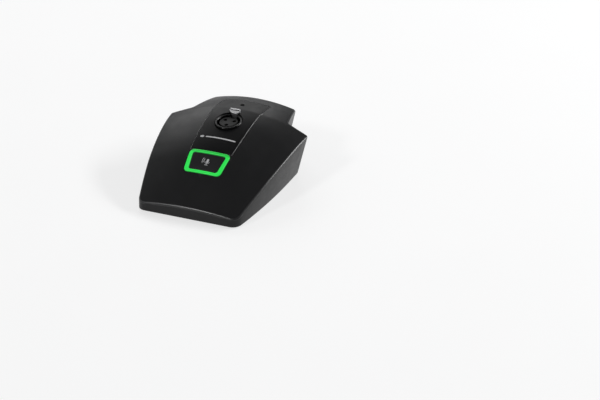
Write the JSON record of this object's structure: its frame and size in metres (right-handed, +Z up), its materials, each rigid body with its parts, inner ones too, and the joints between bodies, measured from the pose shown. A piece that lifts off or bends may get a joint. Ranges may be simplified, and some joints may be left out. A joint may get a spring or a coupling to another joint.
{
  "type": "table-top wireless microphone transmitter",
  "caption": "Wedge-shaped table-top wireless microphone transmitter with a talk button in a light ring, a three-pin microphone socket and a push-to-release tab.",
  "frame": {"origin": "on the centre line, midway front to back, on the surface that the feet stand on", "axes": "+Z up, the talk button and the low front edge face -Y, +X is the user's right"},
  "size_m": [0.129, 0.1412, 0.055],
  "materials": {
    "shell": "fine matte texture, charcoal",
    "strip": "satin, smoother than the shell",
    "base": "matte",
    "rubber": "matt soft rubber",
    "ring_light": "translucent light guide, lit green",
    "button": "satin with a printed pictogram",
    "white_plastic": "moulded natural plastic",
    "black_plastic": "moulded black plastic",
    "socket_ring": "satin",
    "socket_metal": "black coated die casting",
    "gold": "gold plated",
    "bright_steel": "bright nickel",
    "steel": "plain steel",
    "board": "green solder mask",
    "antenna": "blue solder mask",
    "battery": "shrink wrap",
    "coil": "enamelled copper wire",
    "ferrite": "dark sintered sheet",
    "window": "smoked, polished",
    "display": "display glass",
    "rear_button": "satin",
    "ribbon": "amber film",
    "lead": "grey insulation"
  },
  "bodies": {
    "housing": {"antenna_left": "antenna", "antenna_right": "antenna", "ballast_plate": "steel", "base_shell": "base", "battery_contacts": "gold", "battery_cover": "base", "battery_cover_screw_1": "steel", "battery_cover_screw_2": "steel", "battery_pack": "battery", "board_screw_1": "steel", "board_screw_2": "steel", "bracket_screw_1": "steel", "bracket_screw_2": "steel", "centre_strip": "strip", "charge_port": "bright_steel", "charger_shield": "steel", "charging_coil": "coil", "coil_lead": "coil", "display_module": "display", "display_window": "window", "ferrite_sheet": "ferrite", "housing_screw_1": "steel", "housing_screw_2": "steel", "housing_screw_3": "steel", "housing_screw_4": "steel", "light_ring": "ring_light", "main_board": "board", "power_switch": "black_plastic", "rear_board": "board", "rear_panel": "black_plastic", "release_spring": "steel", "rf_shield": "steel", "ribbon_cable": "ribbon", "ring_lamps": "white_plastic", "rubber_foot_1": "rubber", "rubber_foot_2": "rubber", "rubber_foot_3": "rubber", "rubber_foot_4": "rubber", "set_switch": "black_plastic", "socket_bracket": "steel", "socket_contact_1": "gold", "socket_contact_2": "gold", "socket_contact_3": "gold", "socket_gasket": "rubber", "socket_insert": "black_plastic", "socket_lead": "lead", "socket_ring": "socket_ring", "socket_shell": "socket_metal", "status_lens": "window", "talk_board": "board", "talk_guide": "white_plastic", "talk_spring": "steel", "talk_switch": "black_plastic", "top_shell": "shell"},
    "talk": {"talk_button": "button", "talk_plunger": "white_plastic"},
    "release": {"release_button": "bright_steel"},
    "hook": {"latch_hook": "steel"},
    "power": {"power_button": "rear_button"},
    "set": {"set_button": "rear_button"}
  },
  "joints": [
    {"name": "talk_press", "type": "slide", "parent": "housing", "child": "talk", "axis": [0, 0.4924, -0.8704], "range_m": [0, 0.0009], "stiffness_N_per_m": 1500, "springref_m": -0.0006, "deforming": ["talk_spring"]},
    {"name": "release_press", "type": "slide", "parent": "housing", "child": "release", "axis": [0, 0.0872, -0.9962], "range_m": [0, 0.0015], "stiffness_N_per_m": 1800, "springref_m": -0.0006, "deforming": ["release_spring"]},
    {"name": "hook_slide", "type": "slide", "parent": "housing", "child": "hook", "axis": [0, 0.9962, 0.0872], "range_m": [0, 0.0012]},
    {"name": "power_press", "type": "slide", "parent": "housing", "child": "power", "axis": [0, -0.9979, -0.0643], "range_m": [0, 0.0006], "stiffness_N_per_m": 1500, "springref_m": -0.0004},
    {"name": "set_press", "type": "slide", "parent": "housing", "child": "set", "axis": [0, -0.9979, -0.0643], "range_m": [0, 0.0006], "stiffness_N_per_m": 1500, "springref_m": -0.0004}
  ],
  "couplings": [
    {"joint": "hook_slide", "follows": "release_press", "ratio": 0.8}
  ]
}
